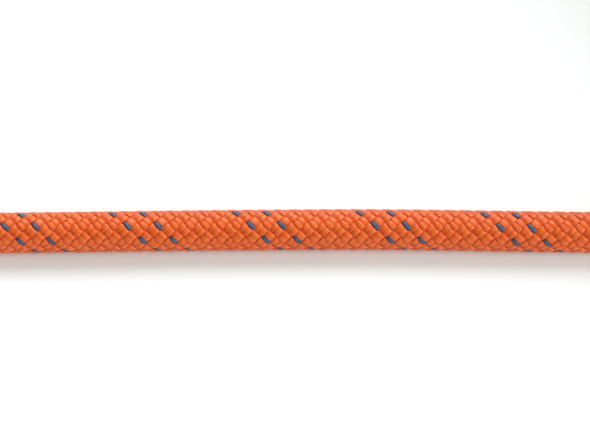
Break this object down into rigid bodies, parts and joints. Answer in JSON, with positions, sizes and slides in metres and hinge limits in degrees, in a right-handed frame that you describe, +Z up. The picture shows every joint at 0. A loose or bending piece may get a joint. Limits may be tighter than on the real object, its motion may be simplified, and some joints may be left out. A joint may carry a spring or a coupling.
{
  "type": "dynamic climbing rope",
  "caption": "Kernmantle climbing rope with a braided two-colour sheath, stored in a tied hank with one sealed end drawn out straight.",
  "frame": {"origin": "middle of the hank's underside, on the surface that the rope lies on", "axes": "+X along the hank's runs, away from the drawn-out end; +Y across the hank; +Z up"},
  "size_m": [0.6163, 0.1956, 0.1236],
  "materials": {
    "sheath": "braided polyamide yarn, orange with blue tracers, slight sheen",
    "core": "twisted white polyamide yarn",
    "marker": "plain coloured thread",
    "seal": "fused polyamide",
    "sleeve": "blank shrunk film",
    "tie": "woven hook-and-loop webbing"
  },
  "bodies": {
    "root": {"sheath_stretch": "sheath", "core_strand_01": "core", "core_strand_02": "core", "core_strand_03": "core", "core_strand_04": "core", "core_strand_05": "core", "core_strand_06": "core", "core_strand_07": "core", "core_strand_08": "core", "core_strand_09": "core", "core_strand_10": "core", "core_strand_11": "core", "core_strand_12": "core", "marker_thread": "marker", "end_seal_a": "seal", "end_sleeve_a": "sleeve", "run_out": "sheath", "hank": "sheath", "rope_tail": "sheath", "end_seal_b": "seal", "end_sleeve_b": "sleeve", "hank_tie_left": "tie", "hank_tie_right": "tie"}
  },
  "joints": []
}
